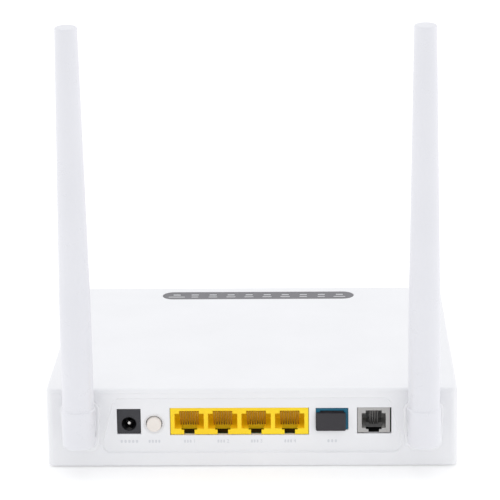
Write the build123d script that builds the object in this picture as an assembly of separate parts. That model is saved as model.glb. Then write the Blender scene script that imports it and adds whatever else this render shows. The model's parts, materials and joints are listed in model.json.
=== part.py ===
from build123d import *
import os

# Optical network terminal: a low white case with its connectors on the rear wall and two folding antennas.
# +Z is up, -Y is the connector side and +X is to the right when the connectors face the viewer.
# The sizes below are measured from the centre of the case's footprint. The written parts are moved along Y,
# so that their origin is the middle of the whole object's footprint, knuckles included, on the table.

# ---- Case ----
CASE_W = 171.0           # outer width at the connector wall
CASE_FRONT_W = 164.4     # outer width at the front wall
CASE_D = 130.0
CASE_H = 34.4
FOOT_H = 0.6             # how far the feet stand out below the case
WALL = 2.0
REAR_WALL = 2.8
FLOOR = 2.0
COVER_T = 2.0
REAR_CORNER_R = 2.6
FRONT_CORNER_R = 7.0
EDGE_R = 1.2             # rounding of the cover's upper edge
TUB_EDGE_R = 0.5         # rounding of the tub's lower edge
SEAM_CHAMFER = 0.08
LIP_T = 1.2              # locating lip under the cover
LIP_H = 1.8
LIP_GAP = 0.15

# ---- Connector panel, a shallow trapezoid recess ----
PANEL_DEPTH = 0.8
PANEL_BOTTOM = 6.8
PANEL_TOP = 30.3
PANEL_BOTTOM_W = 126.2
PANEL_TOP_W = 114.2
PANEL_R = 3.2
PANEL_SLOPE = 34.0       # degrees that the recess's walls lean outwards
FIT_GAP = 0.2            # between a jack and its window
JACK_INSET = 0.4         # jack faces lie this far behind the panel's face

# ---- Board ----
BOARD_TOP = 14.1
BOARD_T = 1.6
BOARD_W = 140.0
BOARD_D = 121.0
BOARD_SCREW_X = 64.0
BOARD_SCREW_YS = (-34.0, 50.0)
BOARD_POST_R = 3.2
BOARD_SCREW_R = 1.2

# ---- Case screws ----
CASE_SCREW_POSTS = ((77.5, -46.0), (75.0, 52.0))
POST_R = 4.5
POST_TOP = 13.6
SCREW_R = 1.45
SCREW_HOLE_R = 1.5
SCREW_HEAD_R = 2.8
COUNTERBORE_R = 3.2
COUNTERBORE_TOP = 5.0

# ---- Jacks: centre X and the level of their lower and upper faces ----
JACK_BOTTOM = 14.2
JACK_TOP = 25.95
JACK_DEPTH = 16.0
CAVITY_DEPTH = 11.6
CAVITY_BOTTOM = 16.75
CAVITY_TOP = 23.4
SLOT_TOP = 24.65         # roof of the contact slot
LATCH_DEPTH = 6.4        # the latch channel is open towards the board
LATCH_PLATE_T = 0.7      # stepped plate that the latch hooks behind
LATCH_STEP = 16.15
LATCH_INNER_W = 4.4
PLUG_TOP = 21.9          # the contacts stay above this level
CONTACT_PITCH = 1.02
CONTACT_T = 0.3
CONTACT_W = 0.44
COMB_DEPTH = 13.4        # narrow slots behind the cavity guide the contacts
COMB_SLOT_W = 0.6

LAN_X = -5.2
LAN_COUNT = 4
LAN_PITCH = 13.97
LAN_W = 57.6
LAN_CAVITY_W = 12.3
LAN_SLOT_W = 8.3
LAN_LATCH_W = 6.5
LAN_CONTACTS = 8

PHONE_X = 50.75
PHONE_W = 13.5
PHONE_BOTTOM = 14.9
PHONE_CAVITY_W = 10.0
PHONE_SLOT_W = 6.7
PHONE_LATCH_W = 6.6
PHONE_WINDOW_X = 50.95
PHONE_WINDOW_W = 14.3
PHONE_WINDOW_BOTTOM = 14.5
PHONE_CONTACTS = 4

DC_X = -51.3
DC_W = 9.6
DC_TOP = 25.6
DC_WINDOW_BOTTOM = 14.55
DC_HOLE_Z = 18.95
DC_HOLE_R = 3.1
DC_HOLE_DEPTH = 10.0
DC_PIN_R = 1.0
DC_PIN_INSET = 0.7

BUTTON_X = -40.8
BUTTON_Z = 19.05
BUTTON_R = 3.1
BUTTON_GAP = 0.3
BUTTON_PROUD = 1.4       # how far it stands out of the panel
BUTTON_TRAVEL = 1.2
BUTTON_DISH_R = 4.5
STEM_W = 3.0

FIBRE_X = 33.4
FIBRE_Z = 21.1
FIBRE_W = 13.2
FIBRE_H = 9.3
FIBRE_DEPTH = 15.0
FIBRE_CAVITY_W = 10.0
FIBRE_CAVITY_H = 7.4
FIBRE_CAVITY_DEPTH = 11.0
FIBRE_KEY_W = 2.6
FIBRE_KEY_H = 0.4
CAP_W = 12.4
CAP_H = 7.9
CAP_T = 1.5
CAP_SHIFT = -0.5         # the head stands out to the left of its plug and below it
CAP_DROP = 0.95
CAP_PLUG_GAP = 0.3
CAP_PLUG_L = 7.0
FERRULE_R = 1.25

# ---- Indicators on the cover ----
WINDOW_L = 86.0
WINDOW_W = 9.8
WINDOW_T = 0.8
WINDOW_Y = 53.9
LED_COUNT = 10
LED_PITCH = 8.14
LED_Y = 55.0
PIPE_L = 3.2
PIPE_W = 1.6

# ---- Antennas ----
ANTENNA_X = 71.4
PAD_T = 1.3
PAD_W = 17.0             # at its top
PAD_FOOT_W = 15.2
PAD_BOTTOM = 7.5
PAD_TOP = 29.5
PAD_R = 4.0
PAD_EDGE_R = 0.9
BASE_SPIGOT_R = 2.4      # holds the pad in the rear wall and carries the antenna lead
KNUCKLE_R = 7.0
KNUCKLE_DROP = 5.3       # how far its foot reaches below the pin
KNUCKLE_EDGE_R = 1.7
KNUCKLE_RIM = 0.1        # bevel at the seam with the tube
KNUCKLE_GAP = 0.35       # between the knuckle and its pad
PIN_Z = 18.5
PIN_R = 1.5
PIN_L = 12.4
PIN_CLEARANCE = 0.05
LUG_T = 4.0
LUG_R = 4.2
LUG_GAP = 0.4
COAX_R = 0.55
COAX_CHANNEL_R = 0.75
COAX_RISE = 2.75         # coax channel above the pin
ANTENNA_SEAM_Z = 29.6
TUBE_R = 6.55
TUBE_RIM = 0.08          # bevel at its foot
TUBE_TAPER_Z = 66.0      # where the taper begins
TUBE_TIP_R = 4.6
ANTENNA_TOP = 191.8
TUBE_TIP_EDGE = 0.8
TUBE_WALL = 1.3
SPIGOT_R = 4.9
SPIGOT_H = 8.0

# ---- Derived ----
REAR_Y = -CASE_D / 2
FRONT_Y = CASE_D / 2
BASE_Z = FOOT_H
TOP_Z = FOOT_H + CASE_H
SEAM_Z = TOP_Z - COVER_T
FLOOR_Z = BASE_Z + FLOOR
PANEL_Y = REAR_Y + PANEL_DEPTH
JACK_Y = PANEL_Y + JACK_INSET
INNER_REAR_Y = REAR_Y + REAR_WALL
BOARD_REAR_Y = INNER_REAR_Y + 0.4
BOARD_BOTTOM = BOARD_TOP - BOARD_T
ANTENNA_Y = REAR_Y - PAD_T - KNUCKLE_GAP - KNUCKLE_R
COAX_Z = PIN_Z + COAX_RISE
ORIGIN_SHIFT = (REAR_Y - ANTENNA_Y + KNUCKLE_R) / 2

# ---- Underside ----
KEYHOLE_SPACING = 100.0
KEYHOLE_Y = 30.0
KEYHOLE_ENTRY_R = 4.0
KEYHOLE_SLOT_W = 4.2
KEYHOLE_RUN = 8.0
FOOT_R = 5.0
FOOT_PLACES = ((-68.0, -50.0), (68.0, -50.0), (-64.0, 50.0), (64.0, 50.0))
LABEL_W = 62.0
LABEL_D = 34.0
LABEL_Y = -30.0
FOOT_RECESS = 0.6


def block(x, y, z, dx, dy, dz):
    """Box from its centre in X, its rear face in Y and its lower face in Z."""
    return Pos(x, y, z) * Box(dx, dy, dz, align=(Align.CENTER, Align.MIN, Align.MIN))


def rod(x, y, z, r, length):
    """Upright cylinder standing on z."""
    return Pos(x, y, z) * Cylinder(r, length, align=(Align.CENTER, Align.CENTER, Align.MIN))


def from_rear(sketch, y, depth):
    """A sketch drawn in X and Z, placed at y and carried towards the front by depth."""
    return extrude(Plane.XZ.offset(-y) * sketch, amount=-depth)


def from_side(sketch, x, y, z, half):
    """A sketch drawn in Y and Z about (y, z), carried both ways along X from x by half."""
    side = Plane(origin=(x, y, z), x_dir=(0, 1, 0), z_dir=(1, 0, 0))
    return extrude(side * sketch, amount=half, both=True)


def rear_rod(x, z, r, y, depth):
    """Cylinder along Y."""
    return from_rear(Pos(x, z) * Circle(r), y, depth)


def rect_span(x, width, low, high):
    """Rectangle in X and Z from its centre X, its width and its two levels."""
    return Pos(x, (low + high) / 2) * Rectangle(width, high - low)


def plan(side, rear, front, rear_r, front_r):
    """The case's outline seen from above, pulled in by the given amounts."""
    rear_x = CASE_W / 2 - side
    front_x = CASE_FRONT_W / 2 - side
    corners = (
        (-rear_x, REAR_Y + rear),
        (rear_x, REAR_Y + rear),
        (front_x, FRONT_Y - front),
        (-front_x, FRONT_Y - front),
    )
    face = Polygon(*corners, align=None)
    face = fillet(face.vertices().group_by(Axis.Y)[0], rear_r)
    return fillet(face.vertices().group_by(Axis.Y)[-1], front_r)


def slab(face, low, high):
    """A plan face carried upwards from low to high."""
    return extrude(Pos(0, 0, low) * face, amount=high - low)


def panel_recess():
    corners = (
        (-PANEL_BOTTOM_W / 2, PANEL_BOTTOM),
        (PANEL_BOTTOM_W / 2, PANEL_BOTTOM),
        (PANEL_TOP_W / 2, PANEL_TOP),
        (-PANEL_TOP_W / 2, PANEL_TOP),
    )
    face = Polygon(*corners, align=None)
    face = fillet(face.vertices(), PANEL_R)
    outwards = Plane(origin=(0, PANEL_Y, 0), x_dir=(1, 0, 0), z_dir=(0, -1, 0))
    return extrude(outwards * face, amount=PANEL_DEPTH + 0.1, taper=-PANEL_SLOPE)


def panel_windows():
    """The holes in the rear wall for the jacks, and the button's hole with its shallow dish."""
    depth = REAR_WALL + 2
    windows = (
        rect_span(DC_X, DC_W + 2 * FIT_GAP, DC_WINDOW_BOTTOM, DC_TOP + FIT_GAP),
        rect_span(LAN_X, LAN_W + 2 * FIT_GAP, JACK_BOTTOM - FIT_GAP, JACK_TOP + FIT_GAP),
        rect_span(
            FIBRE_X,
            FIBRE_W + 2 * FIT_GAP,
            FIBRE_Z - FIBRE_H / 2 - FIT_GAP,
            FIBRE_Z + FIBRE_H / 2 + FIT_GAP,
        ),
        rect_span(PHONE_WINDOW_X, PHONE_WINDOW_W, PHONE_WINDOW_BOTTOM, JACK_TOP + FIT_GAP),
    )
    cut = rear_rod(BUTTON_X, BUTTON_Z, BUTTON_R + BUTTON_GAP, REAR_Y - 1, depth)
    for window in windows:
        cut += from_rear(window, REAR_Y - 1, depth)
    dish = Cone(BUTTON_DISH_R, BUTTON_R + BUTTON_GAP, 0.5, align=(Align.CENTER, Align.CENTER, Align.MIN))
    return cut + Pos(BUTTON_X, PANEL_Y, BUTTON_Z) * Rot(-90, 0, 0) * dish


def hinge_base(x):
    """Pad against the rear wall with the lug that carries the hinge pin, held by a hollow spigot in the wall."""
    corners = (
        (x - PAD_FOOT_W / 2, PAD_BOTTOM),
        (x + PAD_FOOT_W / 2, PAD_BOTTOM),
        (x + PAD_W / 2, PAD_TOP),
        (x - PAD_W / 2, PAD_TOP),
    )
    face = Polygon(*corners, align=None)
    face = fillet(face.vertices(), PAD_R)
    pad = from_rear(face, REAR_Y - PAD_T, PAD_T)
    pad = fillet(pad.faces().sort_by(Axis.Y)[0].edges(), PAD_EDGE_R)
    reach = REAR_Y - ANTENNA_Y - PAD_T / 2
    side = Circle(LUG_R) + Pos(reach / 2, 0) * Rectangle(reach, 2 * LUG_R)
    lug = from_side(side, x, ANTENNA_Y, PIN_Z, LUG_T / 2)
    pin_hole = Pos(x, ANTENNA_Y, PIN_Z) * Rot(0, 90, 0) * Cylinder(PIN_R + PIN_CLEARANCE, LUG_T + 1)
    spigot = rear_rod(x, COAX_Z, BASE_SPIGOT_R, REAR_Y - PAD_T / 2, PAD_T / 2 + REAR_WALL)
    channel_start = ANTENNA_Y - LUG_R - 1
    channel = rear_rod(x, COAX_Z, COAX_CHANNEL_R, channel_start, REAR_Y + REAR_WALL + 1 - channel_start)
    return pad + lug + spigot - pin_hole - channel


def hinge_base_hole(x):
    return rear_rod(x, COAX_Z, BASE_SPIGOT_R + PIN_CLEARANCE, REAR_Y - 1, REAR_WALL + 2)


def keyhole(x):
    """A wall-hanging hole: a round entry with a narrower slot towards the connectors."""
    entry = rod(x, KEYHOLE_Y, BASE_Z - 1, KEYHOLE_ENTRY_R, FLOOR + 2)
    slot = block(x, KEYHOLE_Y - KEYHOLE_RUN, BASE_Z - 1, KEYHOLE_SLOT_W, KEYHOLE_RUN, FLOOR + 2)
    end = rod(x, KEYHOLE_Y - KEYHOLE_RUN, BASE_Z - 1, KEYHOLE_SLOT_W / 2, FLOOR + 2)
    return entry + slot + end


def case_vents():
    """Slots in both side walls and in the floor."""
    cuts = Part()
    side_slot = RectangleRounded(2.2, 14.0, 1.0)
    for i in range(14):
        y = -22.0 + i * 5.0
        cuts += from_side(side_slot, 0, y, 18.0, CASE_W)
    keep = Box(2 * (CASE_FRONT_W / 2 - 8), CASE_D, 60)
    cuts -= keep
    floor_slot = SlotOverall(26.0, 2.2, rotation=90)
    for i in range(9):
        for y in (8.0, 40.0):
            cuts += extrude(Pos((i - 4) * 6.0, y, BASE_Z - 1) * floor_slot, amount=FLOOR + 2)
    return cuts


def screw_post_places():
    return [(side * x, y) for x, y in CASE_SCREW_POSTS for side in (-1, 1)]


def board_screw_places():
    return [(side * BOARD_SCREW_X, y) for y in BOARD_SCREW_YS for side in (-1, 1)]


def bottom_case():
    tub = slab(plan(0, 0, 0, REAR_CORNER_R, FRONT_CORNER_R), BASE_Z, SEAM_Z)
    tub = fillet(tub.faces().sort_by(Axis.Z)[0].edges(), TUB_EDGE_R)
    tub = chamfer(tub.faces().sort_by(Axis.Z)[-1].edges(), SEAM_CHAMFER)
    tub -= slab(plan(WALL, REAR_WALL, WALL, REAR_CORNER_R - WALL, FRONT_CORNER_R - WALL), FLOOR_Z, SEAM_Z + 1)
    for x, y in screw_post_places():
        tub += rod(x, y, BASE_Z + 0.5, POST_R, POST_TOP - BASE_Z - 0.5)
        tub -= rod(x, y, BASE_Z - 1, COUNTERBORE_R, COUNTERBORE_TOP - BASE_Z + 1)
        tub -= rod(x, y, BASE_Z, SCREW_HOLE_R, POST_TOP)
    for x, y in board_screw_places():
        tub += rod(x, y, FLOOR_Z - 0.5, BOARD_POST_R, BOARD_BOTTOM - FLOOR_Z + 0.5)
        tub -= rod(x, y, FLOOR_Z + 1, BOARD_SCREW_R + 0.05, BOARD_BOTTOM)
    tub -= panel_recess()
    tub -= panel_windows()
    for side in (-1, 1):
        tub -= hinge_base_hole(side * ANTENNA_X)
        tub -= keyhole(side * KEYHOLE_SPACING / 2)
    for x, y in FOOT_PLACES:
        tub -= rod(x, y, BASE_Z - 1, FOOT_R + 0.2, FOOT_RECESS + 1)
    tub -= block(0, LABEL_Y - LABEL_D / 2 - 0.3, BASE_Z - 1, LABEL_W + 0.6, LABEL_D + 0.6, 1.2)
    return tub - case_vents()


def top_cover():
    plate = slab(plan(0, 0, 0, REAR_CORNER_R, FRONT_CORNER_R), SEAM_Z, TOP_Z)
    plate = fillet(plate.faces().sort_by(Axis.Z)[-1].edges(), EDGE_R)
    plate = chamfer(plate.faces().sort_by(Axis.Z)[0].edges(), SEAM_CHAMFER)
    side = WALL + LIP_GAP
    rear = REAR_WALL + LIP_GAP
    lip = slab(plan(side, rear, side, 2.3, 4.8), SEAM_Z - LIP_H, SEAM_Z)
    lip -= slab(plan(side + LIP_T, rear + LIP_T, side + LIP_T, 1.2, 3.6), SEAM_Z - LIP_H - 1, SEAM_Z)
    plate += lip
    for x, y in screw_post_places():
        plate += rod(x, y, POST_TOP, POST_R - 1.3, SEAM_Z - POST_TOP + 0.5)
        plate -= rod(x, y, POST_TOP - 1, SCREW_HOLE_R, 12.0)
    recess = Pos(0, WINDOW_Y) * SlotOverall(WINDOW_L + 0.2, WINDOW_W + 0.2)
    plate -= slab(recess, TOP_Z - WINDOW_T, TOP_Z + 1)
    plate -= block(0, LED_Y - 1.3, SEAM_Z - 1, LED_COUNT * LED_PITCH, 2.6, 4)
    return plate


def led_xs():
    return [(i - (LED_COUNT - 1) / 2) * LED_PITCH for i in range(LED_COUNT)]


def indicator_window():
    """Grey bar with a small window over each indicator."""
    plate = slab(Pos(0, WINDOW_Y) * SlotOverall(WINDOW_L, WINDOW_W), TOP_Z - WINDOW_T, TOP_Z)
    plate = fillet(plate.faces().sort_by(Axis.Z)[-1].edges(), 0.25)
    for x in led_xs():
        plate -= block(x, LED_Y - PIPE_W / 2 - 0.05, TOP_Z - 2, PIPE_L + 0.1, PIPE_W + 0.1, 3)
    return plate


def light_pipes():
    """Ten light guides joined by a bar under the cover."""
    comb = block(0, LED_Y - 1.2, SEAM_Z - 4, LED_COUNT * LED_PITCH - 1, 2.4, 2.2)
    for x in led_xs():
        comb += block(x, LED_Y - PIPE_W / 2, BOARD_TOP + 1.2, PIPE_L, PIPE_W, TOP_Z - BOARD_TOP - 1.25)
    return comb


def indicator_leds():
    return [block(x, LED_Y - 0.8, BOARD_TOP, 2.0, 1.6, 0.8) for x in led_xs()]


def main_board():
    board = block(0, BOARD_REAR_Y, BOARD_BOTTOM, BOARD_W, BOARD_D, BOARD_T)
    board = fillet(board.edges().filter_by(Axis.Z), 2.0)
    for x, y in board_screw_places():
        board -= rod(x, y, BOARD_BOTTOM - 1, 1.5, BOARD_T + 2)
    return board


def contact_xs(x, count):
    return [x + (i - (count - 1) / 2) * CONTACT_PITCH for i in range(count)]


def modular_jack(x, width, bottom, mouths):
    """A plastic block behind its window. Each mouth has a cavity, a latch channel and a wire comb."""
    body = block(x, JACK_Y, bottom, width, JACK_DEPTH, JACK_TOP - bottom)
    body = fillet(body.edges().filter_by(Axis.Y), 0.3)
    for mouth_x, cavity_w, slot_w, latch_w, wires in mouths:
        cavity = rect_span(mouth_x, cavity_w, CAVITY_BOTTOM, CAVITY_TOP)
        cavity += rect_span(mouth_x, slot_w, CAVITY_TOP - 0.1, SLOT_TOP)
        body -= from_rear(cavity, JACK_Y - 1, CAVITY_DEPTH + 1)
        notch = rect_span(mouth_x, latch_w, LATCH_STEP, CAVITY_BOTTOM + 0.1)
        notch += rect_span(mouth_x, LATCH_INNER_W, JACK_BOTTOM - 1, LATCH_STEP + 0.1)
        body -= from_rear(notch, JACK_Y - 1, LATCH_PLATE_T + 1.1)
        channel = rect_span(mouth_x, latch_w, JACK_BOTTOM - 1, CAVITY_BOTTOM + 0.1)
        body -= from_rear(channel, JACK_Y + LATCH_PLATE_T, LATCH_DEPTH - LATCH_PLATE_T)
        for wire_x in contact_xs(mouth_x, wires):
            slot = rect_span(wire_x, COMB_SLOT_W, CAVITY_BOTTOM + 0.8, SLOT_TOP)
            body -= from_rear(slot, JACK_Y + CAVITY_DEPTH - 1, COMB_DEPTH - CAVITY_DEPTH + 1)
    return body


def lan_xs():
    return [LAN_X + (i - (LAN_COUNT - 1) / 2) * LAN_PITCH for i in range(LAN_COUNT)]


def lan_jack_housing():
    mouths = [(x, LAN_CAVITY_W, LAN_SLOT_W, LAN_LATCH_W, LAN_CONTACTS) for x in lan_xs()]
    return modular_jack(LAN_X, LAN_W, JACK_BOTTOM, mouths)


def phone_jack_housing():
    mouth = (PHONE_X, PHONE_CAVITY_W, PHONE_SLOT_W, PHONE_LATCH_W, PHONE_CONTACTS)
    body = modular_jack(PHONE_X, PHONE_W, PHONE_BOTTOM, [mouth])
    for side in (-1, 1):
        foot_x = PHONE_X + side * (PHONE_W / 2 - 1.5)
        body += block(foot_x, INNER_REAR_Y + 0.3, JACK_BOTTOM, 2.0, 12.0, PHONE_BOTTOM - JACK_BOTTOM + 0.1)
    return body


def contact_row(x, count):
    """Spring wires that come forward under the slot's roof and bend back down into the cavity."""
    roof = SLOT_TOP - CONTACT_T
    path = Polyline(
        (JACK_Y + COMB_DEPTH - 0.3, roof),
        (JACK_Y + 1.2, roof),
        (JACK_Y + 0.8, roof - 0.35),
        (JACK_Y + 5.2, PLUG_TOP + CONTACT_T),
    )
    profile = trace(path, line_width=CONTACT_T)
    return [from_side(profile, wire_x, 0, 0, CONTACT_W / 2) for wire_x in contact_xs(x, count)]


def lan_jack_contacts():
    wires = []
    for x in lan_xs():
        wires += contact_row(x, LAN_CONTACTS)
    return wires


def phone_jack_contacts():
    return contact_row(PHONE_X, PHONE_CONTACTS)


def dc_jack_housing():
    low = DC_WINDOW_BOTTOM + FIT_GAP
    body = block(DC_X, JACK_Y, low, DC_W, 14.0, DC_TOP - low)
    body = fillet(body.edges().filter_by(Axis.Y), 0.4)
    body += block(DC_X, INNER_REAR_Y + 0.3, JACK_BOTTOM, DC_W - 1, 10.0, low - JACK_BOTTOM + 0.5)
    return body - rear_rod(DC_X, DC_HOLE_Z, DC_HOLE_R, JACK_Y - 1, DC_HOLE_DEPTH + 1)


def dc_jack_pin():
    """Centre pin with a domed nose."""
    pin = rear_rod(DC_X, DC_HOLE_Z, DC_PIN_R, JACK_Y + DC_PIN_INSET, DC_HOLE_DEPTH - DC_PIN_INSET)
    return fillet(pin.faces().sort_by(Axis.Y)[0].edges(), DC_PIN_R - 0.05)


def dc_jack_spring():
    """Flat contact under the barrel."""
    return block(DC_X, JACK_Y + 2.5, DC_HOLE_Z - DC_HOLE_R + 0.15, 1.6, 6.5, 0.25)


def power_switch_body():
    body = block(BUTTON_X, PANEL_Y + 6.0, BOARD_TOP, 8.0, 12.0, 9.5)
    body = fillet(body.edges().filter_by(Axis.Y), 0.4)
    hole = block(BUTTON_X, PANEL_Y + 5, BUTTON_Z - STEM_W / 2 - 0.35, STEM_W + 0.7, 10.0, STEM_W + 0.7)
    return body - hole


def power_button_cap():
    cap = rear_rod(BUTTON_X, BUTTON_Z, BUTTON_R, PANEL_Y - BUTTON_PROUD, BUTTON_PROUD + 3.4)
    cap = fillet(cap.faces().sort_by(Axis.Y)[0].edges(), 0.5)
    socket = block(BUTTON_X, PANEL_Y - 0.5, BUTTON_Z - STEM_W / 2, STEM_W, 6.0, STEM_W)
    return cap - socket


def power_button_stem():
    start = PANEL_Y - 0.5
    end = PANEL_Y + 15.0 - BUTTON_TRAVEL - 0.5
    return block(BUTTON_X, start, BUTTON_Z - STEM_W / 2, STEM_W, end - start, STEM_W)


def fibre_adapter():
    low = FIBRE_Z - FIBRE_H / 2
    body = block(FIBRE_X, PANEL_Y, low, FIBRE_W, FIBRE_DEPTH, FIBRE_H)
    body = fillet(body.edges().filter_by(Axis.Y), 0.5)
    cavity = Pos(FIBRE_X, FIBRE_Z) * Rectangle(FIBRE_CAVITY_W, FIBRE_CAVITY_H)
    key = rect_span(FIBRE_X, FIBRE_KEY_W, FIBRE_Z - FIBRE_CAVITY_H / 2 - FIBRE_KEY_H, FIBRE_Z)
    body -= from_rear(cavity + key, PANEL_Y - 1, FIBRE_CAVITY_DEPTH + 1)
    body -= rear_rod(FIBRE_X, FIBRE_Z, FERRULE_R + 0.03, PANEL_Y, FIBRE_DEPTH + 1)
    for side in (-1, 1):
        x = FIBRE_X + side * (FIBRE_W / 2 - 1)
        body += block(x, PANEL_Y + 4, BOARD_TOP, 2.0, 8.0, low - BOARD_TOP + 0.5)
    return body


def fibre_ferrule():
    length = FIBRE_DEPTH + 3.0
    ferrule = rear_rod(FIBRE_X, FIBRE_Z, FERRULE_R, PANEL_Y + 3.5, length - 3.5)
    return chamfer(ferrule.faces().sort_by(Axis.Y)[0].edges(), 0.3)


def fibre_dust_cap():
    """Pull-off cap: a plate over the adapter's mouth and a hollow plug inside it."""
    low = FIBRE_Z - CAP_DROP - CAP_H / 2
    head = block(FIBRE_X + CAP_SHIFT, PANEL_Y - 0.1 - CAP_T, low, CAP_W, CAP_T, CAP_H)
    head = fillet(head.edges().filter_by(Axis.Y), 0.6)
    head = fillet(head.faces().sort_by(Axis.Y)[0].edges(), 0.35)
    plug_w = FIBRE_CAVITY_W - 2 * CAP_PLUG_GAP
    plug_h = FIBRE_CAVITY_H - 2 * CAP_PLUG_GAP
    head += block(FIBRE_X, PANEL_Y - 0.2, FIBRE_Z - plug_h / 2, plug_w, CAP_PLUG_L + 0.2, plug_h)
    return head - rear_rod(FIBRE_X, FIBRE_Z, 2.2, PANEL_Y + 1, CAP_PLUG_L + 1)


def optical_module():
    """Round optical transceiver behind the adapter, on a square base."""
    start = PANEL_Y + FIBRE_DEPTH + 0.1
    body = rear_rod(FIBRE_X, FIBRE_Z, 3.2, start, 15.0)
    body += block(FIBRE_X, start + 5, BOARD_TOP, 6.6, 8.0, FIBRE_Z - BOARD_TOP)
    return body - rear_rod(FIBRE_X, FIBRE_Z, FERRULE_R + 0.03, start - 1, 4.5)


def shield_can(x, y, width, depth, height):
    """Thin folded steel can, open below."""
    can = block(x, y, BOARD_TOP, width, depth, height)
    can = fillet(can.faces().sort_by(Axis.Z)[-1].edges(), 0.4)
    return can - block(x, y + 0.3, BOARD_TOP - 1, width - 0.6, depth - 0.6, height + 0.7)


def chip(x, y, width, depth, height):
    return block(x, y, BOARD_TOP, width, depth, height)


def main_processor():
    return chip(8, -8, 15.0, 15.0, 1.4)


def heat_sink():
    """Finned block on the processor."""
    base_z = BOARD_TOP + 1.4
    sink = block(8, -15, base_z, 30.0, 29.0, 1.6)
    for i in range(9):
        sink += block(8 + (i - 4) * 3.5, -15, base_z, 1.0, 29.0, 8.0)
    return sink


def capacitor(x, y):
    body = rod(x, y, BOARD_TOP, 4.0, 11.0)
    return fillet(body.faces().sort_by(Axis.Z)[-1].edges(), 0.5)


def board_screw(x, y):
    head = rod(x, y, BOARD_TOP, 2.4, 1.5)
    head = fillet(head.faces().sort_by(Axis.Z)[-1].edges(), 0.6)
    head -= block(x, y - 0.3, BOARD_TOP + 0.8, 2.6, 0.6, 2) + block(x, y - 1.3, BOARD_TOP + 0.8, 0.6, 2.6, 2)
    return head + rod(x, y, BOARD_TOP - 8.0, BOARD_SCREW_R, 8.2)


def case_screw(x, y):
    low = COUNTERBORE_TOP - 2.0
    head = rod(x, y, low, SCREW_HEAD_R, 2.0)
    head = fillet(head.faces().sort_by(Axis.Z)[0].edges(), 0.7)
    head -= block(x, y - 0.35, low - 1, 3.2, 0.7, 2.0) + block(x, y - 1.6, low - 1, 0.7, 3.2, 2.0)
    return head + rod(x, y, COUNTERBORE_TOP - 0.2, SCREW_R, 17.0)


def rubber_foot(x, y):
    foot = rod(x, y, 0, FOOT_R, FOOT_H + FOOT_RECESS)
    return fillet(foot.faces().sort_by(Axis.Z)[0].edges(), 0.4)


def rating_label():
    return block(0, LABEL_Y - LABEL_D / 2, BASE_Z + 0.05, LABEL_W, LABEL_D, 0.15)


def coax_route(side):
    """Points of the antenna lead: board plug, along the board's edge, through the wall and its lug."""
    return (
        (side * 58.0, -18.0, 16.6),
        (side * 66.0, -22.0, 17.0),
        (side * 71.4, -33.0, 19.5),
        (side * 71.4, -46.0, COAX_Z),
        (side * 71.4, ANTENNA_Y - 2.9, COAX_Z),
    )


def coax(side):
    points = coax_route(side)
    radii = (5.0, 7.0, 12.0)
    path = FilletPolyline(*points, radius=list(radii))
    start = Plane(origin=path @ 0, z_dir=path % 0)
    return sweep(start * Circle(COAX_R), path=path)


def coax_plug(side):
    x, y, z = coax_route(side)[0]
    return rod(x - side * 1.6, y + 0.8, BOARD_TOP, 1.5, 2.4)


def hinge_pin(x):
    pin = Pos(x, ANTENNA_Y, PIN_Z) * Rot(0, 90, 0) * Cylinder(PIN_R, PIN_L)
    return chamfer(pin.edges().filter_by(GeomType.CIRCLE), 0.25)


def antenna_root(x):
    """Round knuckle, slotted at the back and below for the lug. Its heel is rounded to turn past the pad."""
    low = PIN_Z - KNUCKLE_DROP
    knuckle = rod(x, ANTENNA_Y, low, KNUCKLE_R, ANTENNA_SEAM_Z - low)
    knuckle = chamfer(knuckle.faces().sort_by(Axis.Z)[-1].edges(), KNUCKLE_RIM)
    knuckle = fillet(knuckle.faces().sort_by(Axis.Z)[0].edges(), KNUCKLE_EDGE_R)
    heel = block(x, ANTENNA_Y, low - 1, 2 * KNUCKLE_R, 2 * KNUCKLE_R, KNUCKLE_DROP + 1)
    heel -= Pos(x, ANTENNA_Y, PIN_Z) * Rot(0, 90, 0) * Cylinder(KNUCKLE_R, 4 * KNUCKLE_R)
    knuckle -= heel
    knuckle += rod(x, ANTENNA_Y, ANTENNA_SEAM_Z - 0.5, SPIGOT_R, SPIGOT_H + 0.5)
    reach = LUG_R + LUG_GAP
    slot = block(x, ANTENNA_Y - reach, PIN_Z - 2 * KNUCKLE_R, LUG_T + 2 * LUG_GAP, 20.0, 2 * KNUCKLE_R + reach)
    hole = Pos(x, ANTENNA_Y, PIN_Z) * Rot(0, 90, 0) * Cylinder(PIN_R + PIN_CLEARANCE, 4 * KNUCKLE_R)
    return knuckle - slot - hole - rod(x, ANTENNA_Y, PIN_Z, 1.6, 60)


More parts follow.
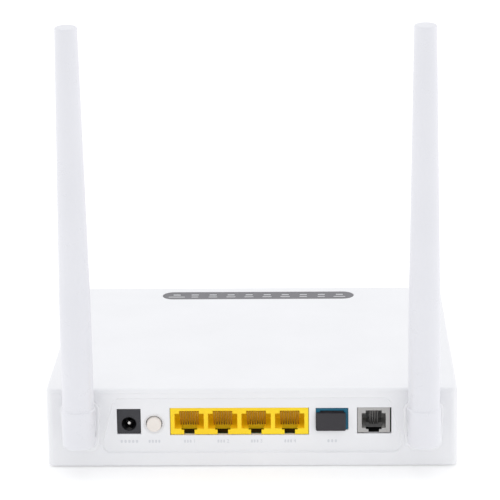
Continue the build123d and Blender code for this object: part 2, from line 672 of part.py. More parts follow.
def antenna_tube(x):
    """Tapered tube, closed at the tip, that stands on the knuckle."""
    slope = (TUBE_R - TUBE_TIP_R) / (ANTENNA_TOP - TUBE_TAPER_Z - 4)
    blend_end = (TUBE_R - slope * 12, TUBE_TAPER_Z + 16)
    edge_start = (TUBE_TIP_R, ANTENNA_TOP - TUBE_TIP_EDGE)
    outer = Line((TUBE_R - TUBE_RIM, ANTENNA_SEAM_Z), (TUBE_R, ANTENNA_SEAM_Z + TUBE_RIM))
    outer += Line((TUBE_R, ANTENNA_SEAM_Z + TUBE_RIM), (TUBE_R, TUBE_TAPER_Z - 8))
    outer += Spline((TUBE_R, TUBE_TAPER_Z - 8), blend_end, tangents=[(0, 1), (-slope, 1)])
    outer += Line(blend_end, edge_start)
    outer += TangentArc(edge_start, (TUBE_TIP_R - TUBE_TIP_EDGE, ANTENNA_TOP), tangent=(-slope, 1))
    bore_r = SPIGOT_R + 0.05
    inner = (
        (TUBE_TIP_R - TUBE_TIP_EDGE, ANTENNA_TOP),
        (0, ANTENNA_TOP),
        (0, ANTENNA_TOP - 2.5),
        (TUBE_TIP_R - TUBE_WALL, ANTENNA_TOP - 2.5),
        (bore_r, TUBE_TAPER_Z + 20),
        (bore_r, ANTENNA_SEAM_Z),
        (TUBE_R - TUBE_RIM, ANTENNA_SEAM_Z),
    )
    outline = outer + Polyline(*inner)
    tube = revolve(Plane.XZ * make_face(outline.edges()), axis=Axis.Z)
    return Pos(x, ANTENNA_Y, 0) * tube


def antenna_feed(x):
    """Coax core that climbs the knuckle's bore to the radiator."""
    return rod(x, ANTENNA_Y, PIN_Z + LUG_R + 1.0, COAX_R + 0.15, 71.0)


def antenna_choke(x):
    """Brass sleeve round the top of the feed."""
    return rod(x, ANTENNA_Y, 72.0, 2.6, 26.0) - rod(x, ANTENNA_Y, 71.0, 0.72, 24.0)


def antenna_whip(x):
    """Radiator above the sleeve, with its phasing coil as a thicker stretch."""
    whip = rod(x, ANTENNA_Y, 100.0, 0.7, 78.0)
    return whip + rod(x, ANTENNA_Y, 128.0, 1.9, 14.0)


def write(name, shape):
    """Each node is one STEP file, holding one solid or a group of separate solids."""
    if isinstance(shape, list):
        shape = Compound(children=shape)
    shape = Pos(0, ORIGIN_SHIFT, 0) * shape
    shape.label = name
    export_step(shape, f"parts/{name}.step")


def main():
    os.makedirs("parts", exist_ok=True)
    write("bottom_case", bottom_case())
    write("top_cover", top_cover())
    write("indicator_window", indicator_window())
    write("light_pipes", light_pipes())
    write("indicator_leds", indicator_leds())
    write("main_board", main_board())
    write("lan_jack_housing", lan_jack_housing())
    write("lan_jack_contacts", lan_jack_contacts())
    write("phone_jack_housing", phone_jack_housing())
    write("phone_jack_contacts", phone_jack_contacts())
    write("dc_jack_housing", dc_jack_housing())
    write("dc_jack_pin", dc_jack_pin())
    write("dc_jack_spring", dc_jack_spring())
    write("power_switch_body", power_switch_body())
    write("power_button_cap", power_button_cap())
    write("power_button_stem", power_button_stem())
    write("fibre_adapter", fibre_adapter())
    write("fibre_ferrule", fibre_ferrule())
    write("fibre_dust_cap", fibre_dust_cap())
    write("optical_module", optical_module())
    write("optical_shield", shield_can(16.0, -42.0, 20.0, 16.0, 4.0))
    write("main_processor", main_processor())
    write("heat_sink", heat_sink())
    write("memory_chip", chip(-14, -6, 9.0, 13.0, 1.1))
    write("flash_chip", chip(30, 22, 8.0, 6.0, 1.1))
    write("wifi_shield", shield_can(-46, -6, 24.0, 22.0, 3.0))
    write("phone_line_driver", chip(50, -36, 7.0, 7.0, 0.9))
    write("clock_crystal", chip(8, 22, 5.0, 3.2, 1.1))
    write("line_transformers", [chip(x, -42, 15.0, 9.0, 6.0) for x in (-24.0, -6.0)])
    write("filter_capacitors", [capacitor(x, y) for x, y in ((-50, -24), (-40, -24), (-30, -24), (40, -14))])
    write("power_inductors", [chip(x, -38, 7.0, 7.0, 4.0) for x in (-56.0, -47.0)])
    write("board_screws", [board_screw(x, y) for x, y in board_screw_places()])
    write("case_screws", [case_screw(x, y) for x, y in screw_post_places()])
    write("rubber_feet", [rubber_foot(x, y) for x, y in FOOT_PLACES])
    write("rating_label", rating_label())
    write("coax_plugs", [coax_plug(side) for side in (-1, 1)])
    for name, side in (("left", -1), ("right", 1)):
        x = side * ANTENNA_X
        write(f"hinge_base_{name}", hinge_base(x))
        write(f"coax_{name}", coax(side))
        write(f"hinge_pin_{name}", hinge_pin(x))
        write(f"antenna_{name}_root", antenna_root(x))
        write(f"antenna_{name}_tube", antenna_tube(x))
        write(f"antenna_{name}_feed", antenna_feed(x))
        write(f"antenna_{name}_choke", antenna_choke(x))
        write(f"antenna_{name}_whip", antenna_whip(x))


main()
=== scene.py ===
import json
import math

import bmesh
import bpy
from mathutils import Euler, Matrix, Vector


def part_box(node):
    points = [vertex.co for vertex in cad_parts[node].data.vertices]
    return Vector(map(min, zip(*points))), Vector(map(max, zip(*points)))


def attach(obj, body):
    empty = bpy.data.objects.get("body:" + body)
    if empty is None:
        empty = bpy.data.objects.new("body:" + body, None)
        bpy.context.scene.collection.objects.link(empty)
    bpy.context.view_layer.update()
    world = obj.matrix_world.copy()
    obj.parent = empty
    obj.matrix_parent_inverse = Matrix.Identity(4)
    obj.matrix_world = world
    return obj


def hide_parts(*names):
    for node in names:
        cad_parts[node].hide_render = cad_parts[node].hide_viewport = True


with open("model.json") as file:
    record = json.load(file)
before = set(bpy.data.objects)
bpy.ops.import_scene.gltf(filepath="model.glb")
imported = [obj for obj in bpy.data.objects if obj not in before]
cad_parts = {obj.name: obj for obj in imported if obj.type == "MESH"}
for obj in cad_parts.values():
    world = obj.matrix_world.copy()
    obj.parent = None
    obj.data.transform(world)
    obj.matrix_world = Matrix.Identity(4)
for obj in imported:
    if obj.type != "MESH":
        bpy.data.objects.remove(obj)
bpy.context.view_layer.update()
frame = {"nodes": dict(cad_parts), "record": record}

# An optical network terminal seen from behind: materials for the CAD nodes, the jacks' springs and
# linings, painted shade and painted light in and under the jacks, the antennas' seam collars, the marks
# (the panel's grey is painted shade), the camera and a light table.

MM = 0.001

# ---- The camera, in metres, in the row frame ----
REAR_TO_CAMERA = 1.2038      # from the case's rear wall to the camera, along Y
CAMERA_X = 0.0375
CAMERA_Z = 0.4891
CAMERA_YAW = math.radians(1.77)
CAMERA_PITCH = math.radians(18.10)
CAMERA_ROLL = math.radians(-0.83)
FOCAL_IN_WIDTHS = 6.2        # focal length over the frame's width
SENSOR_MM = 36.0

# ---- The light table ----
FLOOR_GLOW = 0.20            # its own light
FLOOR_HALF = 6.0             # half its side, in metres

# ---- The jacks' cavities ----
PORT_PITCH = 13.97 * MM
PORTS = 4
CAVITY_RISE = 2.55 * MM      # a cavity's floor above the network jack's underside
CAVITY_DEPTH = 11.6 * MM
CAVITY_HALF_W = 6.15 * MM
LATCH_HALF_W = 3.25 * MM     # of the latch channel below a cavity
LATCH_DEPTH = 6.4 * MM
LATCH_PLATE = 0.75 * MM      # the jack's front plate
PHONE_HALF_W = 3.25 * MM     # of the phone jack's lined part
PHONE_ROOF_DROP = 1.35 * MM  # the lining's top below the phone jack's top

# ---- The films that line them ----
FILM_THICKNESS = 0.05 * MM
FILM_GAP = 0.02 * MM         # between a film and the wall or floor that it covers
PHONE_FILM_GAP = 0.05 * MM   # the same at the phone jack's back and latch walls
LAN_LATCH_FILM_RISE = 0.2 * MM    # the latch wall's film above the network jack's underside
PHONE_LATCH_FILM_RISE = 0.6 * MM  # the same in the phone jack
UNDERLAY_GAP = 0.01 * MM     # between the board and the film on it
UNDERLAY_INSET = 1.0 * MM    # from a jack's sides and back to the film's edges
UNDERLAY_FRONT = 0.05 * MM   # from the board's edge to the film's front edge

# ---- The contact springs ----
WIRE_PITCH = 1.02 * MM
WIRE_R = 0.37 * MM
WIRE_REACH = 3.4 * MM        # how far back a spring's tip lies from its bend
WIRE_FALL = 6.8 * MM         # how far the tip hangs below the roof
LAN_WIRES = 8
PHONE_WIRES = 4

# ---- The antennas' seam collars ----
COLLAR_RISE = 0.5 * MM
COLLAR_SINK = 0.03 * MM      # how far it reaches into the tube
COLLAR_INSET = 0.10 * MM     # from the knuckle's rim
RING_SIDES = 96

# ---- The marks on the connector panel ----
PANEL_PROUD = 0.4 * MM       # the panel's face in front of the network jack's
MARK_DROP = 2.9 * MM         # the marks' middle below the network jack
MARK_HEIGHT = 1.4 * MM
MARK_RISE = 0.06 * MM
MARK_SHARE = 0.62            # a mark's width over the marks' pitch
DIGIT_HEIGHT = 1.5 * MM
DIGIT_DEPTH = 0.10 * MM
DIGIT_SHARE = 0.7            # a digit's height over its font's size
DIGIT_SHIFT = 2.1 * MM       # right of its socket's middle
PORT_MARKS = 3
PORT_MARKS_SPAN = 3.6 * MM
PORT_MARKS_SHIFT = 0.7 * MM  # left of their socket's middle
OTHER_MARKS = (              # below which part, how many, over what span
    ("dc_jack_housing", 5, 8.0 * MM),
    ("power_button_cap", 4, 5.4 * MM),
    ("fibre_adapter", 3, 4.6 * MM),
)

# ---- The dashes on the indicator bar ----
DASH_LENGTHS_MM = (7.4, 3.2, 4.0, 4.2, 4.2, 4.2, 4.4, 3.4, 3.4, 5.4)
DASH_WIDTH = 0.75 * MM
DASH_HEIGHT = 0.05 * MM
DASH_SINK = 0.02 * MM
DASH_SHIFT = 1.9 * MM        # from the bar's middle towards the rear
LED_HALF_W = 1.0 * MM

# ---- Material settings: tones in linear light, sizes in mm ----
# Moulded plastics: light and dark tone, roughness, the grain's size and depth, further settings
PLASTICS = {
    "case_white": ((0.838, 0.841, 0.860), (0.820, 0.823, 0.842), 0.42, 0.28, 0.010, {}),
    "antenna_white": ((0.757, 0.758, 0.797), (0.742, 0.744, 0.783), 0.32, 0.35, 0.005, {"specular": 0.8}),
    "jack_yellow": ((1.000, 0.735, 0.022), (0.985, 0.660, 0.014), 0.45, 0.2, 0.006,
                    {"specular": 0.3, "scatter": 0.15}),
    # painted shade and painted light: an orange copy of jack_yellow for the cavity walls, with emission
    # though it is no lamp
    "jack_yellow_painted_shade_glow": ((1.000, 0.590, 0.016), (0.985, 0.530, 0.012), 0.5, 0.2, 0.006,
                   {"specular": 0.2, "painted_glow": (0.10, 0.096, 0.0)}),
    "jack_grey": ((0.455, 0.447, 0.437), (0.417, 0.408, 0.400), 0.45, 0.2, 0.006, {}),
    "jack_black": ((0.034, 0.034, 0.040), (0.026, 0.026, 0.031), 0.46, 0.22, 0.008, {"specular": 0.4}),
    "cap_grey": ((0.029, 0.027, 0.032), (0.024, 0.022, 0.027), 0.5, 0.22, 0.008, {"specular": 0.4}),
    "adapter_blue": ((0.006, 0.132, 0.222), (0.004, 0.108, 0.186), 0.35, 0.2, 0.005, {"specular": 0.3}),
    "button_white": ((0.83, 0.775, 0.725), (0.80, 0.745, 0.695), 0.32, 0.3, 0.004, {}),
    "window_grey": ((0.136, 0.133, 0.147), (0.124, 0.121, 0.134), 0.36, 0.15, 0.004, {}),
    "chip_black": ((0.035, 0.035, 0.037), (0.022, 0.022, 0.024), 0.55, 0.15, 0.01, {}),
    "ceramic_white": ((0.85, 0.84, 0.80), (0.80, 0.79, 0.76), 0.15, 0.3, 0.001, {"coat": 0.5}),
    "foot_rubber": ((0.045, 0.045, 0.047), (0.030, 0.030, 0.032), 0.75, 0.3, 0.02, {}),
    "coax_jacket": ((0.04, 0.04, 0.042), (0.028, 0.028, 0.03), 0.45, 0.2, 0.006, {}),
    "insert_grey": ((0.300, 0.297, 0.296), (0.260, 0.257, 0.256), 0.6, 0.3, 0.004, {"specular": 0.2}),
    # painted shade: a black sheet where the board below the jacks is only in shade
    "painted_shade_black": ((0.010, 0.010, 0.011), (0.006, 0.006, 0.007), 0.6, 0.3, 0.004, {"specular": 0.2}),
}
# Metals: light and dark tone, roughness, the grain's stretch and size, metallic share
METALS = {
    "heatsink_aluminium": ((0.66, 0.66, 0.68), (0.5, 0.5, 0.52), 0.36, (0.1, 1, 1), 0.4, 1.0),
    "contact_gold": ((0.55, 0.30, 0.03), (0.45, 0.225, 0.02), 0.42, (1, 0.1, 1), 0.2, 0.6),
    "contact_dark": ((0.17, 0.165, 0.16), (0.12, 0.117, 0.115), 0.45, (1, 0.1, 1), 0.2, 0.6),
    "nickel": ((0.74, 0.72, 0.69), (0.6, 0.58, 0.56), 0.22, (1, 0.2, 1), 0.3, 1.0),
    "steel": ((0.62, 0.62, 0.63), (0.46, 0.46, 0.48), 0.3, (1, 0.2, 1), 0.35, 1.0),
    "brass": ((0.80, 0.58, 0.28), (0.62, 0.43, 0.18), 0.3, (1, 1, 0.15), 0.3, 1.0),
}
# The panel marks' grey, darker than the case, is painted shade: the raised marks show only by their
# shading. The other tone is print.
MARK_COLOURS = {"mark_painted_shade_grey": (0.68, 0.69, 0.72), "mark_light": (0.68, 0.68, 0.70)}
MARK_ROUGHNESS = 0.5


# ---- Node helpers ----
class Shader:
    """A material's node tree with short calls for the nodes used here."""

    def __init__(self, name):
        self.material = bpy.data.materials.new(name)
        self.material.use_nodes = True
        self.tree = self.material.node_tree
        self.principled = self.tree.nodes["Principled BSDF"]
        self.coords = self.node("ShaderNodeTexCoord")

    def node(self, kind, **settings):
        made = self.tree.nodes.new(kind)
        for key, value in settings.items():
            setattr(made, key, value)
        return made

    def link(self, source, target):
        self.tree.links.new(source, target)

    def set_inputs(self, values):
        """Give the shader's own sockets their values."""
        for key, value in values.items():
            self.principled.inputs[key].default_value = value

    def mapped(self, scale):
        """Object coordinates, which tie a pattern to its piece, times scale."""
        mapping = self.node("ShaderNodeMapping")
        mapping.inputs["Scale"].default_value = scale
        self.link(self.coords.outputs["Object"], mapping.inputs["Vector"])
        return mapping.outputs["Vector"]

    def noise(self, size, detail=2.0, roughness=0.5, stretch=(1, 1, 1)):
        """Noise with features about size metres across."""
        made = self.node("ShaderNodeTexNoise")
        made.inputs["Scale"].default_value = 1.0
        made.inputs["Detail"].default_value = detail
        made.inputs["Roughness"].default_value = roughness
        self.link(self.mapped([s / size for s in stretch]), made.inputs["Vector"])
        return made.outputs["Fac"]

    def cells(self, size):
        """Distance from the nearest of many points about size metres apart."""
        made = self.node("ShaderNodeTexVoronoi", feature="F1")
        made.inputs["Scale"].default_value = 1.0
        self.link(self.mapped([1 / size] * 3), made.inputs["Vector"])
        return made.outputs["Distance"]

    def bricks(self, size, mortar, width, row, offset=0.5):
        """The mortar's mask in a brick pattern whose measures are in units of size metres."""
        made = self.node("ShaderNodeTexBrick", offset=offset)
        made.inputs["Scale"].default_value = 1.0
        made.inputs["Mortar Size"].default_value = mortar
        made.inputs["Brick Width"].default_value = width
        made.inputs["Row Height"].default_value = row
        self.link(self.mapped([1 / size] * 3), made.inputs["Vector"])
        return made.outputs["Fac"]

    def span(self, value, low, high, start=0.0, end=1.0):
        """The value with start to end mapped to low to high."""
        made = self.node("ShaderNodeMapRange")
        made.inputs["From Min"].default_value = start
        made.inputs["From Max"].default_value = end
        made.inputs["To Min"].default_value = low
        made.inputs["To Max"].default_value = high
        self.link(value, made.inputs["Value"])
        return made.outputs["Result"]

    def blend(self, fac, first, second):
        """A mix of two colours, each a triple or a node's output."""
        made = self.node("ShaderNodeMix", data_type="RGBA")
        self.link(fac, made.inputs["Factor"])
        for value, socket in ((first, made.inputs[6]), (second, made.inputs[7])):
            if isinstance(value, bpy.types.NodeSocket):
                self.link(value, socket)
            else:
                socket.default_value = (*value, 1.0)
        return made.outputs[2]

    def add(self, first, second):
        made = self.node("ShaderNodeMath", operation="ADD")
        self.link(first, made.inputs[0])
        self.link(second, made.inputs[1])
        return made.outputs[0]

    def bump(self, height, depth, after=None):
        """Bump of the given depth in metres, on top of an earlier one."""
        made = self.node("ShaderNodeBump")
        made.inputs["Distance"].default_value = depth
        made.inputs["Strength"].default_value = 1.0
        self.link(height, made.inputs["Height"])
        if after is not None:
            self.link(after, made.inputs["Normal"])
        return made.outputs["Normal"]

    def finish(self, colour, roughness, normal=None):
        for value, key in ((colour, "Base Color"), (roughness, "Roughness"), (normal, "Normal")):
            if value is not None:
                self.link(value, self.principled.inputs[key])
        return self.material


# ---- Materials ----
def moulded(name, light, dark, rough, grain_mm, grain_depth_mm,
            specular=0.5, coat=0.0, scatter=0.0, painted_glow=None):
    """Moulded plastic: spark-eroded grain, slow tone drift, faint flow marks and uneven gloss."""
    s = Shader(name)
    drift = s.span(s.noise(30 * MM, detail=3.0), 0, 1, 0.35, 0.65)
    fine = s.noise(grain_mm * MM, detail=3.0, roughness=0.6)
    smudge = s.noise(9 * MM, detail=4.0, roughness=0.65)
    tone = s.blend(drift, dark, light)
    tone = s.blend(s.span(fine, 0.0, 0.12, 0.35, 0.75), tone, dark)
    uneven = s.span(smudge, -0.05, 0.05, 0.3, 0.7)
    gloss = s.add(uneven, s.span(fine, rough - 0.04, rough + 0.04, 0.3, 0.7))
    normal = s.bump(fine, grain_depth_mm * MM)
    normal = s.bump(s.noise(6 * MM), 0.01 * MM, normal)
    s.set_inputs({"Specular IOR Level": specular, "Coat Weight": coat, "Coat Roughness": 0.12})
    if scatter:
        s.set_inputs({
            "Subsurface Weight": scatter,
            "Subsurface Radius": (1.2 * MM, 1.0 * MM, 0.8 * MM),
            "Subsurface Scale": 1.0,
        })
    # painted light: emission on plastic that is no lamp
    if painted_glow:
        s.set_inputs({"Emission Color": (*painted_glow, 1.0), "Emission Strength": 1.0})
    return s.finish(tone, gloss, normal)


def metal(name, light, dark, rough, brushed, grain_mm, metallic):
    """Metal with a directional grain and uneven gloss."""
    s = Shader(name)
    grain = s.noise(grain_mm * MM, detail=3.0, stretch=brushed)
    stain = s.noise(5 * MM, detail=3.0)
    tone = s.blend(s.span(stain, 0, 1, 0.3, 0.7), dark, light)
    uneven = s.span(grain, -0.06, 0.06, 0.3, 0.7)
    gloss = s.add(uneven, s.span(stain, rough - 0.05, rough + 0.08, 0.3, 0.7))
    s.set_inputs({"Metallic": metallic})
    return s.finish(tone, gloss, s.bump(grain, 0.003 * MM))


def light_guide():
    """Frosted clear plastic, milky inside."""
    s = Shader("light_guide")
    haze = s.noise(0.6 * MM, detail=3.0)
    tone = s.blend(haze, (0.60, 0.61, 0.63), (0.70, 0.71, 0.73))
    s.set_inputs({"Transmission Weight": 0.25, "IOR": 1.49})
    return s.finish(tone, s.span(haze, 0.3, 0.5), s.bump(haze, 0.004 * MM))


def circuit_board():
    """Green solder resist over copper tracks, with small bright pads."""
    s = Shader("circuit_board")
    tracks = s.bricks(2.2 * MM, mortar=0.06, width=1.6, row=0.45)
    pads = s.span(s.cells(1.9 * MM), 1, 0, 0.10, 0.16)
    tone = s.blend(tracks, (0.012, 0.115, 0.045), (0.02, 0.19, 0.075))
    tone = s.blend(pads, tone, (0.62, 0.6, 0.55))
    s.link(pads, s.principled.inputs["Metallic"])
    return s.finish(tone, s.span(pads, 0.32, 0.25), s.bump(s.add(tracks, pads), 0.03 * MM))


def label_film():
    """Plain silver-white film with ruled boxes and no lettering."""
    s = Shader("label_film")
    rules = s.bricks(10 * MM, mortar=0.012, width=2.0, row=0.85, offset=0.0)
    fibre = s.noise(0.5 * MM, detail=4.0)
    base = s.blend(fibre, (0.70, 0.71, 0.72), (0.78, 0.79, 0.80))
    tone = s.blend(rules, base, (0.32, 0.33, 0.35))
    return s.finish(tone, s.span(fibre, 0.35, 0.5), s.bump(fibre, 0.004 * MM))


def printed(name, colour):
    """Flat mark colour with slightly uneven cover and gloss: pad print on the indicator dashes, painted
    shade on the panel's raised marks.
    """
    s = Shader(name)
    cover = s.noise(0.18 * MM, detail=3.0)
    tone = s.blend(cover, [c * 0.92 for c in colour], [min(1.0, c * 1.06) for c in colour])
    gloss = s.span(cover, MARK_ROUGHNESS - 0.06, MARK_ROUGHNESS + 0.06)
    return s.finish(tone, gloss, s.bump(cover, 0.004 * MM))


def make_materials():
    made = {name: moulded(name, *row[:-1], **row[-1]) for name, row in PLASTICS.items()}
    made.update({name: metal(name, *row) for name, row in METALS.items()})
    made.update({name: printed(name, colour) for name, colour in MARK_COLOURS.items()})
    made["light_guide"] = light_guide()
    made["board_green"] = circuit_board()
    made["label_paper"] = label_film()
    return made


def dress_cad_nodes(materials):
    """Each CAD node takes the material of its slot."""
    slots = {row["node"]: row["material_slot"] for row in frame["record"]["subparts"]}
    for name, node in frame["nodes"].items():
        node.data.materials.clear()
        node.data.materials.append(materials[slots[name]])


# ---- Mesh helpers ----
def new_object(name, bm, material):
    mesh = bpy.data.meshes.new(name)
    bm.to_mesh(mesh)
    bm.free()
    mesh.materials.append(material)
    made = bpy.data.objects.new(name, mesh)
    bpy.context.scene.collection.objects.link(made)
    return made


def add_piece(name, bm, material, body):
    piece = new_object(name, bm, material)
    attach(piece, body)
    return piece


def middle(node):
    low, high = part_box(node)
    return (low + high) / 2


def row_xs(centre_x, count, pitch):
    """The places of count things in a row about centre_x."""
    return [centre_x + (i - (count - 1) / 2) * pitch for i in range(count)]


def add_curve(bm, curve, place=(0, 0, 0), turn=(0, 0, 0)):
    """Add a curve's mesh to bm, turned and put at a place. The curve itself goes."""
    holder = bpy.data.objects.new(curve.name, curve)
    bpy.context.scene.collection.objects.link(holder)
    holder.location = place
    holder.rotation_euler = Euler(turn)
    bpy.context.view_layer.update()
    depsgraph = bpy.context.evaluated_depsgraph_get()
    mesh = bpy.data.meshes.new_from_object(holder.evaluated_get(depsgraph))
    mesh.transform(holder.matrix_world)
    bpy.data.objects.remove(holder)
    bpy.data.curves.remove(curve)
    bm.from_mesh(mesh)
    bpy.data.meshes.remove(mesh)


def bar_outline(length, width, segments=6):
    """The outline of a bar with half-round ends, about its middle."""
    radius = width / 2
    outline = []
    for end, start in ((1, -90), (-1, 90)):
        for i in range(segments + 1):
            angle = math.radians(start + 180 * i / segments)
            x = (length / 2 - radius) * end + radius * math.cos(angle)
            outline.append((x, radius * math.sin(angle)))
    return outline


def rounded_bar(bm, centre, length, width, height, up, along):
    """A low pad with half-round ends and a bevelled top, its base at centre."""
    up = Vector(up)
    along = Vector(along)
    across = up.cross(along)
    outline = bar_outline(length, width)
    bevel = height * 0.4
    loops = []
    for level, inset in ((0.0, 0.0), (height - bevel, 0.0), (height, bevel)):
        shrink = 1 - 2 * inset / width
        loop = []
        for x, y in outline:
            end_x = math.copysign(length / 2 - width / 2, x)
            reach = end_x + (x - end_x) * shrink
            loop.append(bm.verts.new(Vector(centre) + along * reach + across * y * shrink + up * level))
        loops.append(loop)
    count = len(outline)
    for lower, upper in zip(loops, loops[1:]):
        for i in range(count):
            j = (i + 1) % count
            bm.faces.new((lower[i], lower[j], upper[j], upper[i]))
    bm.faces.new(loops[-1])
    bm.faces.new(list(reversed(loops[0])))


def film(bm, corners):
    """A thin closed sheet from corners that run round it, thickened along its normal."""
    first, second, third = (Vector(c) for c in corners[:3])
    normal = (second - first).cross(third - second).normalized() * FILM_THICKNESS
    lower = [bm.verts.new(c) for c in corners]
    upper = [bm.verts.new(Vector(c) + normal) for c in corners]
    bm.faces.new(list(reversed(lower)))
    bm.faces.new(upper)
    for i in range(len(corners)):
        j = (i + 1) % len(corners)
        bm.faces.new((lower[i], lower[j], upper[j], upper[i]))


def upright_film(bm, x0, y0, x1, y1, low, high):
    """A film standing between two places, facing right of the way from the first to the second."""
    film(bm, ((x0, y0, low), (x1, y1, low), (x1, y1, high), (x0, y0, high)))


def level_film(bm, x0, x1, y0, y1, z):
    film(bm, ((x0, y0, z), (x1, y0, z), (x1, y1, z), (x0, y1, z)))


# ---- Jack details ----
def spring_wire(bm, x, route):
    """A round wire at one x that bends smoothly along a route of (y, z) points."""
    curve = bpy.data.curves.new("wire_route", "CURVE")
    curve.dimensions = "3D"
    curve.resolution_u = 4
    spline = curve.splines.new("NURBS")
    spline.points.add(len(route) - 1)
    for point, (y, z) in zip(spline.points, route):
        point.co = (x, y, z, 1)
    spline.order_u = 3
    spline.use_endpoint_u = True
    curve.bevel_depth = WIRE_R
    curve.bevel_resolution = 2
    curve.use_fill_caps = True
    add_curve(bm, curve)


def contact_springs(name, node, xs, material):
    """Spring wires at rest: along the roof, round a bend at the mouth and down into the cavity."""
    low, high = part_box(node)
    front = low.y
    back = high.y
    roof = high.z - WIRE_R
    tip_y = front + WIRE_REACH
    tip_z = roof - WIRE_FALL
    # From the fixed end at the back, round the bend at the front, to the free end
    route = (
        (back, roof),
        ((front + back) / 2, roof),
        (front + 1.2 * MM, roof),
        (front + WIRE_R, roof - 0.1 * MM),
        (front + 0.7 * MM, roof - 1.2 * MM),
        (tip_y, tip_z),
        (tip_y + 0.8 * MM, tip_z - 0.3 * MM),
    )
    bm = bmesh.new()
    for x in xs:
        spring_wire(bm, x, route)
    piece = add_piece(name, bm, material, "case")
    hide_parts(node)
    for polygon in piece.data.polygons:
        polygon.use_smooth = True


def lan_xs():
    return row_xs(middle("lan_jack_housing").x, PORTS, PORT_PITCH)


def jack_springs(materials):
    lan = [x for centre_x in lan_xs() for x in row_xs(centre_x, LAN_WIRES, WIRE_PITCH)]
    phone = row_xs(middle("phone_jack_housing").x, PHONE_WIRES, WIRE_PITCH)
    contact_springs("lan_contact_springs", "lan_jack_contacts", lan, materials["contact_gold"])
    contact_springs("phone_contact_springs", "phone_jack_contacts", phone, materials["contact_dark"])


def jack_underlay(materials):
    """Black film on the board below the network and phone jacks: painted shade, so the latch channels
    look dark.
    """
    board_low, board_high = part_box("main_board")
    front = board_low.y + UNDERLAY_FRONT
    z = board_high.z + UNDERLAY_GAP
    bm = bmesh.new()
    for node in ("lan_jack_housing", "phone_jack_housing"):
        low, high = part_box(node)
        level_film(bm, low.x + UNDERLAY_INSET, high.x - UNDERLAY_INSET, front, high.y - UNDERLAY_INSET, z)
    add_piece("jack_underlay", bm, materials["painted_shade_black"], "case")


def lan_lining(materials):
    """Amber films on the network jack's inner walls: painted shade, an orange copy of its yellow, with
    emission as painted light standing in for light through the plastic.
    """
    low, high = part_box("lan_jack_housing")
    front = low.y + LATCH_PLATE
    step = low.y + LATCH_DEPTH - FILM_GAP
    back = low.y + CAVITY_DEPTH - FILM_GAP
    floor = low.z + CAVITY_RISE + FILM_GAP
    roof = high.z - CAVITY_RISE - FILM_GAP
    half = CAVITY_HALF_W - FILM_GAP
    latch = LATCH_HALF_W
    bm = bmesh.new()
    for x in lan_xs():
        upright_film(bm, x - half, back, x + half, back, floor, roof)
        upright_film(bm, x - half, front, x - half, back, floor, roof)
        upright_film(bm, x + half, back, x + half, front, floor, roof)
        upright_film(bm, x - latch, step, x + latch, step, low.z + LAN_LATCH_FILM_RISE, floor)
        level_film(bm, x - half, x - latch, front, step, floor)
        level_film(bm, x + latch, x + half, front, step, floor)
        level_film(bm, x - half, x + half, step, back, floor)
    add_piece("lan_jack_painted_shade_lining", bm, materials["jack_yellow_painted_shade_glow"], "case")


def phone_lining(materials):
    """Dark grey film on the phone jack's back wall, floor and latch wall, behind its springs."""
    low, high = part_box("phone_jack_housing")
    centre_x = (low.x + high.x) / 2
    left = centre_x - PHONE_HALF_W
    right = centre_x + PHONE_HALF_W
    step = low.y + LATCH_DEPTH - PHONE_FILM_GAP
    back = low.y + CAVITY_DEPTH - PHONE_FILM_GAP
    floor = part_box("lan_jack_housing")[0].z + CAVITY_RISE + FILM_GAP
    roof = high.z - PHONE_ROOF_DROP
    bm = bmesh.new()
    upright_film(bm, left, back, right, back, floor, roof)
    level_film(bm, left, right, step, back, floor)
    upright_film(bm, left, step, right, step, low.z + PHONE_LATCH_FILM_RISE, floor)
    add_piece("phone_jack_lining", bm, materials["insert_grey"], "case")


# ---- Antennas ----
def seam_collar(side, materials):
    """A sloping collar in the corner between an antenna's tube and its wider knuckle."""
    low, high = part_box(f"antenna_{side}_tube")
    root_low, root_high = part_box(f"antenna_{side}_root")
    inner = (high.x - low.x) / 2 - COLLAR_SINK
    outer = (root_high.x - root_low.x) / 2 - COLLAR_INSET
    centre = Vector(((low.x + high.x) / 2, (low.y + high.y) / 2, low.z))
    profile = ((inner, 0.0), (outer, 0.0), (inner, COLLAR_RISE))
    bm = bmesh.new()
    rings = []
    for i in range(RING_SIDES):
        angle = 2 * math.pi * i / RING_SIDES
        out = Vector((math.cos(angle), math.sin(angle), 0))
        rings.append([bm.verts.new(centre + out * r + Vector((0, 0, z))) for r, z in profile])
    for ring, following in zip(rings, rings[1:] + rings[:1]):
        for j in range(len(profile)):
            k = (j + 1) % len(profile)
            bm.faces.new((ring[j], following[j], following[k], ring[k]))
    bmesh.ops.recalc_face_normals(bm, faces=bm.faces)
    name = f"antenna_{side}_seam_collar"
    add_piece(name, bm, materials["antenna_white"], f"antenna_{side}")


# ---- Marks ----
def port_number(number, place, material):
    """A small raised numeral on the connector panel."""
    name = f"port_number_{number}"
    curve = bpy.data.curves.new(name + "_outline", "FONT")
    curve.body = str(number)
    curve.size = DIGIT_HEIGHT / DIGIT_SHARE
    curve.extrude = DIGIT_DEPTH / 2
    curve.bevel_depth = DIGIT_DEPTH * 0.2
    curve.bevel_resolution = 1
    curve.align_x = "CENTER"
    curve.align_y = "CENTER"
    bm = bmesh.new()
    add_curve(bm, curve, place, (math.pi / 2, 0, 0))
    add_piece(name, bm, material, "case")


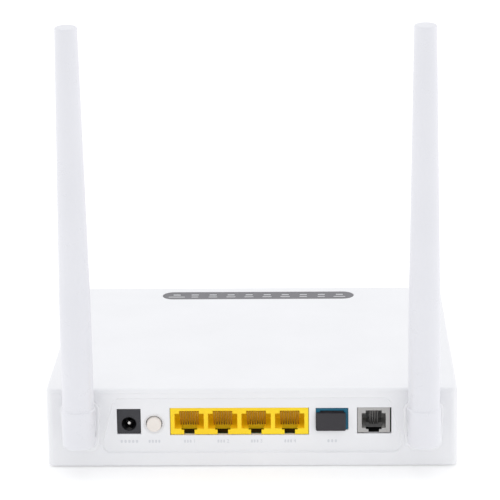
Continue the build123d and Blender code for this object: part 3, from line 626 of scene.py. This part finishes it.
def panel_marks(materials):
    """Small raised marks under the sockets: plain bars, with a numeral at each network socket."""
    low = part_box("lan_jack_housing")[0]
    panel_y = low.y - PANEL_PROUD
    mark_z = low.z - MARK_DROP
    # painted shade: the raised marks take a grey darker than the case
    shade_grey = materials["mark_painted_shade_grey"]
    rows = [(middle(node).x, count, span) for node, count, span in OTHER_MARKS]
    for number, x in enumerate(lan_xs(), start=1):
        port_number(number, (x + DIGIT_SHIFT, panel_y, mark_z), shade_grey)
        rows.append((x - PORT_MARKS_SHIFT, PORT_MARKS, PORT_MARKS_SPAN))
    bm = bmesh.new()
    for centre_x, count, span in rows:
        pitch = span / count
        for x in row_xs(centre_x, count, pitch):
            place = (x, panel_y, mark_z)
            rounded_bar(bm, place, MARK_HEIGHT, MARK_SHARE * pitch, MARK_RISE, (0, -1, 0), (0, 0, 1))
    add_piece("panel_marks", bm, shade_grey, "case")


def indicator_marks(materials):
    """A short printed dash at each light of the indicator bar."""
    low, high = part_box("indicator_window")
    leds_low, leds_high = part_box("indicator_leds")
    first = leds_low.x + LED_HALF_W
    last = leds_high.x - LED_HALF_W
    y = (low.y + high.y) / 2 - DASH_SHIFT
    z = high.z - DASH_SINK
    bm = bmesh.new()
    for i, length in enumerate(DASH_LENGTHS_MM):
        x = first + (last - first) * i / (len(DASH_LENGTHS_MM) - 1)
        rounded_bar(bm, (x, y, z), length * MM, DASH_WIDTH, DASH_HEIGHT, (0, 0, 1), (1, 0, 0))
    add_piece("indicator_marks", bm, materials["mark_light"], "case")


# ---- Stage ----
def make_camera():
    data = bpy.data.cameras.new("camera")
    data.sensor_width = SENSOR_MM
    data.lens = FOCAL_IN_WIDTHS * SENSOR_MM
    data.clip_start = 0.05
    data.clip_end = 20
    camera = bpy.data.objects.new("camera", data)
    bpy.context.scene.collection.objects.link(camera)
    rear_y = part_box("top_cover")[0].y
    camera.location = (CAMERA_X, rear_y - REAR_TO_CAMERA, CAMERA_Z)
    forward = Vector((
        -math.sin(CAMERA_YAW) * math.cos(CAMERA_PITCH),
        math.cos(CAMERA_YAW) * math.cos(CAMERA_PITCH),
        -math.sin(CAMERA_PITCH),
    ))
    turn = forward.to_track_quat("-Z", "Y").to_matrix()
    camera.rotation_euler = (turn @ Euler((0, 0, CAMERA_ROLL)).to_matrix()).to_euler()
    bpy.context.scene.camera = camera


def make_floor():
    """A wide pale light table."""
    s = Shader("floor_pale")
    grain = s.noise(4 * MM, detail=3.0)
    tone = s.blend(grain, (0.86, 0.86, 0.86), (0.88, 0.88, 0.88))
    s.set_inputs({
        "Specular IOR Level": 0.1,
        "Emission Color": (1, 1, 1, 1),
        "Emission Strength": FLOOR_GLOW,
    })
    material = s.finish(tone, s.span(grain, 0.85, 0.95))
    bm = bmesh.new()
    corners = ((-1, -1), (1, -1), (1, 1), (-1, 1))
    bm.faces.new([bm.verts.new((x * FLOOR_HALF, y * FLOOR_HALF, 0)) for x, y in corners])
    floor = new_object("floor", bm, material)


def area_light(name, place, target, size, power):
    data = bpy.data.lights.new(name, "AREA")
    data.shape = "RECTANGLE"
    data.size, data.size_y = size
    data.energy = power
    light = bpy.data.objects.new(name, data)
    bpy.context.scene.collection.objects.link(light)
    light.location = place
    light.rotation_euler = (Vector(target) - Vector(place)).to_track_quat("-Z", "Y").to_euler()


def make_light():
    """A bright even surround, a soft light above and a softer one at each side."""
    world = bpy.data.worlds.new("studio")
    bpy.context.scene.world = world
    world.use_nodes = True
    background = world.node_tree.nodes["Background"]
    background.inputs["Color"].default_value = (0.985, 0.99, 1.0, 1)
    background.inputs["Strength"].default_value = 0.965
    area_light("top_box", (0.0, 0.25, 1.5), target=(0, 0, 0), size=(1.6, 1.6), power=3.1)
    area_light("left_box", (-1.3, 0.35, 0.45), target=(0, 0, 0.1), size=(1.0, 0.9), power=1.45)
    area_light("right_box", (1.3, 0.35, 0.45), target=(0, 0, 0.1), size=(1.0, 0.9), power=1.72)
    bpy.context.scene.view_settings.view_transform = "Standard"


materials = make_materials()
dress_cad_nodes(materials)
make_camera()
jack_springs(materials)
jack_underlay(materials)
lan_lining(materials)
phone_lining(materials)
for side in ("left", "right"):
    seam_collar(side, materials)
panel_marks(materials)
indicator_marks(materials)
make_floor()
make_light()
